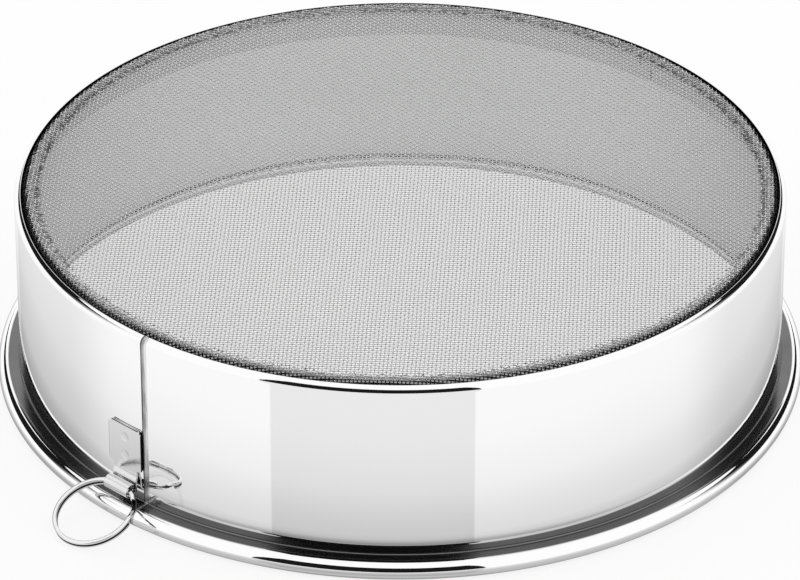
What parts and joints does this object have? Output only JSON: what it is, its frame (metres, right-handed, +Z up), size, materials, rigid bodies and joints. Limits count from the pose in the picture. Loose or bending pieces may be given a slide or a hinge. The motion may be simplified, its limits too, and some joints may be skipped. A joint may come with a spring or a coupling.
{
  "type": "drum sieve",
  "caption": "Round drum sieve (tamis): polished steel drum with a rolled rim, woven wire cloth over one end, and a split ring on a tab to hang it by.",
  "frame": {"origin": "on the drum's axis, at the level of the surface that the rolled rim stands on", "axes": "+Z up along the drum's axis towards the cloth, -Y towards the hanger tab and ring, +X along the ring's hinge line"},
  "size_m": [0.2748, 0.2961, 0.0704],
  "materials": {
    "mirror_steel": "mirror polished stainless steel",
    "weld_steel": "matt ground weld",
    "hoop_steel": "bright rolled stainless steel",
    "wire_cloth": "plain weave of bright drawn stainless wire",
    "tab_steel": "polished stainless steel strap",
    "ring_steel": "bright plated spring steel"
  },
  "bodies": {
    "drum": {"drum_wall": "mirror_steel", "wall_seam_weld": "weld_steel", "inner_hoop": "hoop_steel", "mesh_hem": "wire_cloth", "mesh_cloth": "wire_cloth", "hanger_tab": "tab_steel", "tab_welds": "tab_steel"},
    "ring": {"split_ring": "ring_steel"}
  },
  "joints": [
    {"name": "ring_swing", "type": "hinge", "parent": "drum", "child": "ring", "pos_m": [0, -0.1333, 0.011], "axis": [-1, 0, 0], "range_deg": [-29, 114]}
  ]
}
